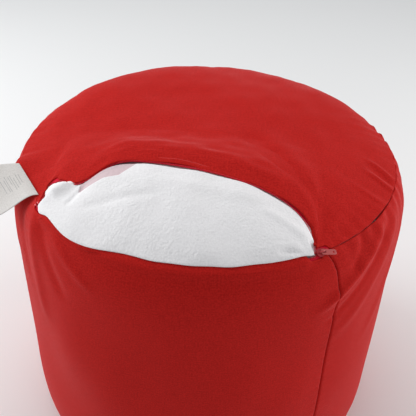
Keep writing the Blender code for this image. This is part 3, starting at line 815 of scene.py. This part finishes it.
def pull_tab():
    """The stamped pull: bevelled, with a window for the crown and a round eye, hanging askew."""
    curve = bpy.data.curves.new("pull_outline", "CURVE")
    curve.dimensions = "2D"
    curve.fill_mode = "BOTH"
    curve.extrude = 0.00022
    curve.bevel_depth = 0.00024
    curve.bevel_resolution = 2
    outlines = (
        rounded(0.0078, 0.0083, 0.0027, 0.0017),
        rounded(0.0027, 0.0021, 0.0012, 0.0005),
        rounded(0.0131, 0.0012, 0.0012, 0.00119),
    )
    for outline in outlines:
        spline = curve.splines.new("POLY")
        spline.points.add(len(outline) - 1)
        for point, (x, y) in zip(spline.points, outline):
            point.co = (x, y, 0.0, 1.0)
        spline.use_cyclic_u = True
    flat = bpy.data.objects.new("pull_outline", curve)
    bpy.context.scene.collection.objects.link(flat)
    mesh = bpy.data.meshes.new_from_object(flat.evaluated_get(bpy.context.evaluated_depsgraph_get()))
    bpy.data.objects.remove(flat, do_unlink=True)
    weld(mesh)
    place = rim_frame(SLIDER_AZIMUTH)
    place.translation = PULL_HINGE
    mesh.transform(place @ Matrix.Rotation(PULL_SWING, 4, "Z"))
    piece = bpy.data.objects.new("pull_tab_stamped", mesh)
    bpy.context.scene.collection.objects.link(piece)
    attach(piece, "pull_tab")
    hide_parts("pull_tab")
    return piece


# ---- Care label -------------------------------------------------------------------------------
def even_threads(points, length):
    """Each lengthwise thread of a sheet at equal steps of its own length, all cut equally long."""
    even = np.empty_like(points)
    places = np.linspace(0.0, length, points.shape[0])
    for column in range(points.shape[1]):
        thread = points[:, column]
        gone = np.concatenate([[0.0], np.cumsum(np.linalg.norm(np.diff(thread, axis=0), axis=1))])
        for axis in range(3):
            even[:, column, axis] = np.interp(places, gone, thread[:, axis])
    return even


def care_label():
    """A satin label: its root follows the pulled seam, and it twists and droops towards its free edge."""
    seams = np.array([LABEL_LEFT, LABEL_RIGHT])
    root = np.stack([np.cos(seams), np.sin(seams), np.zeros(2)], axis=-1) * (RIM_RADIUS + 0.0004)
    root = seam_pull(root + np.array([0.0, 0.0, RIM_HEIGHT + 0.0010]))
    far_edge = np.array([-0.98, -0.10, -0.03])
    root_across = (root[1] - root[0]) / np.linalg.norm(root[1] - root[0])
    tip_across = np.array([0.08, -0.78, -0.62])
    width = np.linalg.norm(root[1] - root[0])
    lengths = np.linspace(-LABEL_SEAM, LABEL_LENGTH, 64)
    widths = np.linspace(0.0, 1.0, 44)
    points = np.empty((64, 44, 3))
    for i, length in enumerate(lengths * LABEL_SPARE):
        turn = min(1.0, max(0.0, length) / 0.028) ** 2.2
        across = (1.0 - turn) * root_across + turn * tip_across
        across = across / np.linalg.norm(across)
        sag = np.array([0.0, 0.0, -2.2]) * max(0.0, length) ** 2
        curl = 0.0016 * np.sin(widths * math.pi * 1.6 + 0.6) * min(1.0, max(0.0, length) / 0.02)
        edge = root[0] + far_edge * length + sag
        points[i] = edge + across * width * widths[:, None] + curl[:, None] * np.array([0.3, -0.5, 0.8])
    points = even_threads(points, LABEL_LENGTH + LABEL_SEAM)
    uv = np.stack(np.broadcast_arrays(lengths[:, None], (widths[None, :] - 0.5) * LABEL_WIDTH), axis=-1)
    label = sheet_mesh("care_label_cloth", points, uv, thickness=0.0003, body=None)
    out = Vector((LABEL_HINGE[0], LABEL_HINGE[1], 0.0)).normalized()
    start = LABEL_HINGE - out * 0.002
    end = LABEL_HINGE + out * 0.008
    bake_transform(label, "root", "care_label", start=tuple(start), end=tuple(end))
    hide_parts("care_label")
    return label


# ---- Materials --------------------------------------------------------------------------------
class Nodes:
    """Small helper that adds and links shader nodes."""

    def __init__(self, name):
        self.material = bpy.data.materials.new(name)
        self.material.use_nodes = True
        self.tree = self.material.node_tree
        self.shader = self.tree.nodes["Principled BSDF"]

    def add(self, kind, **values):
        node = self.tree.nodes.new(kind)
        for key, value in values.items():
            if key in node.inputs:
                node.inputs[key].default_value = value
            else:
                setattr(node, key.lower(), value)
        return node

    def link(self, source, target):
        self.tree.links.new(source, target)

    def math(self, operation, first, second):
        node = self.tree.nodes.new("ShaderNodeMath")
        node.operation = operation
        for socket, value in zip(node.inputs, (first, second)):
            if isinstance(value, (int, float)):
                socket.default_value = value
            else:
                self.link(value, socket)
        return node.outputs[0]

    def noise(self, vector, scale, detail=3.0):
        node = self.add("ShaderNodeTexNoise", Scale=scale, Detail=detail)
        self.link(vector, node.inputs["Vector"])
        return node.outputs["Fac"]

    def blend_colours(self, factor, first, second):
        node = self.tree.nodes.new("ShaderNodeMix")
        node.data_type = "RGBA"
        self.link(factor, node.inputs[0])
        node.inputs[6].default_value = (*first, 1.0)
        node.inputs[7].default_value = (*second, 1.0)
        return node.outputs[2]


def weave_height(nodes, uv, pitch):
    """Height of a plain weave: warp and weft threads that pass over each other by turns."""
    split = nodes.add("ShaderNodeSeparateXYZ")
    nodes.link(uv, split.inputs[0])
    u = nodes.math("MULTIPLY", split.outputs[0], math.tau / pitch)
    v = nodes.math("MULTIPLY", split.outputs[1], math.tau / pitch)
    warp = nodes.math("ABSOLUTE", nodes.math("SINE", u, 0.0), 0.0)
    weft = nodes.math("ABSOLUTE", nodes.math("SINE", v, 0.0), 0.0)
    over = nodes.math("MULTIPLY", nodes.math("SINE", u, 0.0), nodes.math("SINE", v, 0.0))
    threads = nodes.math("MULTIPLY", nodes.math("ADD", warp, weft), 0.35)
    return nodes.math("ADD", threads, nodes.math("MULTIPLY", over, 0.3))


def stretched(nodes, uv, along, across):
    """Coordinates scaled unlike in their two directions, for streaks along a thread."""
    scaled = nodes.tree.nodes.new("ShaderNodeVectorMath")
    scaled.operation = "MULTIPLY"
    nodes.link(uv, scaled.inputs[0])
    scaled.inputs[1].default_value = (along, across, 1.0)
    return scaled.outputs[0]


def cloth(name, dark, light, pitch, weave=0.25, roughness=0.85, sheen=0.4, tint=(1.0, 1.0, 1.0)):
    nodes = Nodes(name)
    coordinates = nodes.add("ShaderNodeUVMap")
    coordinates.uv_map = "Cloth"
    uv = coordinates.outputs[0]
    large = nodes.noise(uv, 9.0, 4.0)
    fine = nodes.noise(uv, 700.0, 2.0)
    warp_slubs = nodes.noise(stretched(nodes, uv, 60.0, 900.0), 1.0, 2.0)
    weft_slubs = nodes.noise(stretched(nodes, uv, 900.0, 60.0), 1.0, 2.0)
    threads = weave_height(nodes, uv, pitch)
    slubs = nodes.math("SUBTRACT", nodes.math("ADD", warp_slubs, weft_slubs), 0.65)
    factor = nodes.math("ADD", nodes.math("MULTIPLY", large, 0.25), slubs)
    # The weave's height also sets the colour, lighter on the thread crests and darker between the threads:
    # painted shade in the weave's hollows.
    factor = nodes.math("ADD", factor, nodes.math("MULTIPLY", threads, 0.15))
    grain = nodes.noise(uv, 520.0, 1.0)
    factor = nodes.math("ADD", factor, nodes.math("MULTIPLY", nodes.math("SUBTRACT", grain, 0.5), 2.2))
    nodes.link(nodes.blend_colours(factor, dark, light), nodes.shader.inputs["Base Color"])
    rough = nodes.math("ADD", nodes.math("MULTIPLY", fine, 0.12), roughness - 0.06)
    nodes.link(rough, nodes.shader.inputs["Roughness"])
    height = nodes.math("ADD", threads, nodes.math("MULTIPLY", fine, 0.8))
    bump = nodes.add("ShaderNodeBump", Strength=weave, Distance=0.0003)
    nodes.link(height, bump.inputs["Height"])
    nodes.link(bump.outputs[0], nodes.shader.inputs["Normal"])
    nodes.shader.inputs["Sheen Weight"].default_value = sheen
    nodes.shader.inputs["Sheen Roughness"].default_value = 0.28
    nodes.shader.inputs["Sheen Tint"].default_value = (*tint, 1.0)
    nodes.shader.inputs["Specular IOR Level"].default_value = 0.10
    return nodes


def liner_material():
    """Thin white non-woven liner cloth, pushed out in small bumps by the beads behind it."""
    nodes = cloth("liner_cloth", (0.90, 0.89, 0.90), (0.97, 0.96, 0.97), 0.0007, 0.25, 0.7, 0.05)
    coordinates = nodes.add("ShaderNodeUVMap")
    coordinates.uv_map = "Cloth"
    beads = nodes.add("ShaderNodeTexVoronoi", Scale=430.0)
    beads.feature = "SMOOTH_F1"
    nodes.link(coordinates.outputs[0], beads.inputs["Vector"])
    patches = nodes.noise(coordinates.outputs[0], 24.0, 2.0)
    amount = nodes.math("MULTIPLY", nodes.math("SUBTRACT", 1.0, beads.outputs["Distance"]), patches)
    bump = nodes.add("ShaderNodeBump", Strength=0.60, Distance=0.0014)
    nodes.link(amount, bump.inputs["Height"])
    weave = nodes.shader.inputs["Normal"].links[0].from_node
    nodes.link(weave.outputs[0], bump.inputs["Normal"])
    nodes.link(bump.outputs[0], nodes.shader.inputs["Normal"])
    # Painted shade: the thin single layer is tinted pink-grey for the shaded red hollow seen through it, not
    # for a colour of the white liner cloth.
    layer = nodes.add("ShaderNodeAttribute")
    layer.attribute_name = "thin_layer"
    thick = nodes.shader.inputs["Base Color"].links[0].from_socket
    thin = nodes.tree.nodes.new("ShaderNodeMix")
    thin.data_type = "RGBA"
    nodes.link(layer.outputs["Fac"], thin.inputs[0])
    nodes.link(thick, thin.inputs[6])
    thin.inputs[7].default_value = (0.74, 0.58, 0.61, 1.0)
    nodes.link(thin.outputs[2], nodes.shader.inputs["Base Color"])
    return nodes.material


def enamel(name, colour, roughness, metallic, coat):
    nodes = Nodes(name)
    coordinates = nodes.add("ShaderNodeTexCoord")
    wear = nodes.noise(coordinates.outputs["Object"], 900.0, 4.0)
    lighter = tuple(min(1.0, channel * 1.35 + 0.02) for channel in colour)
    nodes.link(nodes.blend_colours(wear, colour, lighter), nodes.shader.inputs["Base Color"])
    rough = nodes.math("ADD", nodes.math("MULTIPLY", wear, 0.15), roughness - 0.05)
    nodes.link(rough, nodes.shader.inputs["Roughness"])
    nodes.shader.inputs["Metallic"].default_value = metallic
    nodes.shader.inputs["Coat Weight"].default_value = coat
    nodes.shader.inputs["Coat Roughness"].default_value = 0.12
    return nodes.material


def nylon():
    nodes = Nodes("zip_nylon_gloss")
    coordinates = nodes.add("ShaderNodeTexCoord")
    streaks = nodes.noise(coordinates.outputs["Object"], 1500.0, 2.0)
    nodes.link(
        nodes.blend_colours(streaks, (0.66, 0.008, 0.026), (0.84, 0.015, 0.045)),
        nodes.shader.inputs["Base Color"],
    )
    nodes.shader.inputs["Roughness"].default_value = 0.38
    nodes.shader.inputs["Subsurface Weight"].default_value = 0.1
    nodes.shader.inputs["Subsurface Scale"].default_value = 0.001
    return nodes.material


def label_material():
    """White satin with a few plain grey bars where a real label has its care notes."""
    nodes = cloth("label_satin_weave", (0.66, 0.63, 0.60), (0.76, 0.73, 0.70), 0.0005, 0.15, 0.5, 0.3)
    coordinates = nodes.add("ShaderNodeUVMap")
    coordinates.uv_map = "Cloth"
    split = nodes.add("ShaderNodeSeparateXYZ")
    nodes.link(coordinates.outputs[0], split.inputs[0])
    ink = None
    bars = ((0.0060, 0.008, -0.002), (0.0092, 0.010, -0.001), (0.0130, 0.009, 0.003), (0.0160, 0.012, 0.001),
            (0.0185, 0.007, -0.003), (0.0225, 0.013, 0.000), (0.0250, 0.010, 0.002), (0.0300, 0.011, 0.000))
    for place, half, middle in bars:
        off_line = nodes.math("ABSOLUTE", nodes.math("SUBTRACT", split.outputs[0], place), 0.0)
        off_middle = nodes.math("ABSOLUTE", nodes.math("SUBTRACT", split.outputs[1], middle), 0.0)
        near = nodes.math("LESS_THAN", off_line, LABEL_BAR_HALF_HEIGHT)
        within = nodes.math("LESS_THAN", off_middle, half)
        bar = nodes.math("MULTIPLY", near, within)
        ink = bar if ink is None else nodes.math("MAXIMUM", ink, bar)
    base = nodes.shader.inputs["Base Color"].links[0].from_socket
    printed = nodes.tree.nodes.new("ShaderNodeMix")
    printed.data_type = "RGBA"
    nodes.link(nodes.math("MULTIPLY", ink, 0.6), printed.inputs[0])
    nodes.link(base, printed.inputs[6])
    printed.inputs[7].default_value = (0.20, 0.20, 0.21, 1.0)
    nodes.link(printed.outputs[2], nodes.shader.inputs["Base Color"])
    return nodes.material


def paint(obj, material):
    obj.data.materials.clear()
    obj.data.materials.append(material)


# ---- Room -------------------------------------------------------------------------------------
def soft_light(name, place, target, size, power, colour=(1.0, 1.0, 1.0)):
    data = bpy.data.lights.new(name, "AREA")
    data.shape = "RECTANGLE"
    data.size, data.size_y = size
    data.energy = power
    data.color = colour
    lamp = bpy.data.objects.new(name, data)
    bpy.context.scene.collection.objects.link(lamp)
    lamp.location = place
    lamp.rotation_euler = (Vector(target) - Vector(place)).to_track_quat("-Z", "Y").to_euler()


def room():
    mesh = bpy.data.meshes.new("floor")
    mesh.from_pydata([(-6, -6, 0), (6, -6, 0), (6, 6, 0), (-6, 6, 0)], [], [(0, 1, 2, 3)])
    floor = bpy.data.objects.new("floor", mesh)
    bpy.context.scene.collection.objects.link(floor)
    pale = Nodes("pale_floor")
    pale.shader.inputs["Base Color"].default_value = (0.86, 0.87, 0.87, 1.0)
    pale.shader.inputs["Roughness"].default_value = 0.9
    paint(floor, pale.material)
    world = bpy.data.worlds.new("studio")
    world.use_nodes = True
    world.node_tree.nodes["Background"].inputs["Color"].default_value = (0.97, 0.98, 1.0, 1.0)
    world.node_tree.nodes["Background"].inputs["Strength"].default_value = 0.44
    bpy.context.scene.world = world
    soft_light("overhead", (-0.35, 0.6, 2.1), (0.0, 0.0, 0.35), (1.6, 1.2), 12.0, (1.0, 0.99, 0.98))
    soft_light("left_window", (-2.0, 0.5, 1.0), (0.0, 0.0, 0.3), (1.2, 1.0), 26.0, (0.98, 0.99, 1.0))
    soft_light("backdrop", (0.0, 1.9, 1.3), (0.0, 2.3, 0.0), (4.5, 0.8), 4.0)
    soft_light("right_window", (2.0, 0.2, 0.6), (0.0, 0.0, 0.3), (1.2, 0.9), 20.0, (1.0, 0.98, 0.97))


def camera():
    data = bpy.data.cameras.new("camera")
    data.lens = CAMERA_LENS
    data.sensor_width = 36.0
    data.clip_start = 0.01
    eye = bpy.data.objects.new("camera", data)
    bpy.context.scene.collection.objects.link(eye)
    tilt = Matrix.Rotation(math.pi / 2.0 - CAMERA_PITCH, 4, "X")
    roll = Matrix.Rotation(CAMERA_ROLL, 4, "Z")
    eye.matrix_world = Matrix.Translation(CAMERA_PLACE) @ tilt @ roll
    bpy.context.scene.camera = eye


# ---- Putting it together ------------------------------------------------------------------------
camera()
room()
bpy.context.scene.view_settings.view_transform = "Standard"
red_cloth = cloth(
    "cover_red_cloth",
    (0.44, 0.009, 0.007),
    (0.60, 0.017, 0.013),
    THREAD_PITCH,
    weave=0.35,
    roughness=0.86,
    sheen=0.28,
    tint=(1.0, 0.42, 0.44),
).material
tape_cloth = cloth(
    "zip_tape_weave", (0.66, 0.008, 0.026), (0.86, 0.014, 0.048), 0.0006, weave=0.4, roughness=0.7, sheen=0.3
).material
paint(cover_top(), red_cloth)
front_wall = cover_wall("cover_front_wall", "front_wall_panel", SIDE_SEAMS[1] - math.tau, SIDE_SEAMS[0], 420)
paint(front_wall, red_cloth)
rear_wall = cover_wall("cover_rear_wall", "rear_wall_panel", SIDE_SEAMS[0], SIDE_SEAMS[1], 420)
paint(rear_wall, red_cloth)
paint(cover_base(), red_cloth)
paint(liner_bag(), liner_material())
paint(upper_tape(), tape_cloth)
nylon_gloss = nylon()
paint(coil_turns("coil_lower_turns", "zip_coil_lower", -1.0, False), nylon_gloss)
paint(coil_turns("coil_upper_turns", "zip_coil_upper", 1.0, True), nylon_gloss)
paint(care_label(), label_material())
for node in ("zip_bottom_stop", "zip_top_stop_lower", "zip_top_stop_upper"):
    paint(frame["nodes"][node], nylon_gloss)
paint(frame["nodes"]["zip_tape_lower"], tape_cloth)
red_enamel = enamel("slider_red_enamel", (0.38, 0.010, 0.018), 0.30, 0.5, 0.6)
paint(frame["nodes"]["slider_body"], red_enamel)
paint(frame["nodes"]["slider_crown"], red_enamel)
# The pull's enamel is the slider's red paint made lighter and pinker: red enamel with a painted highlight
# mixed into its colour.
paint(pull_tab(), enamel("pull_pale_enamel", (0.54, 0.085, 0.080), 0.12, 0.35, 1.0))
bead_foam = cloth("bead_foam", (0.78, 0.78, 0.78), (0.9, 0.9, 0.9), 0.004, 0.5).material
paint(frame["nodes"]["bead_fill"], bead_foam)
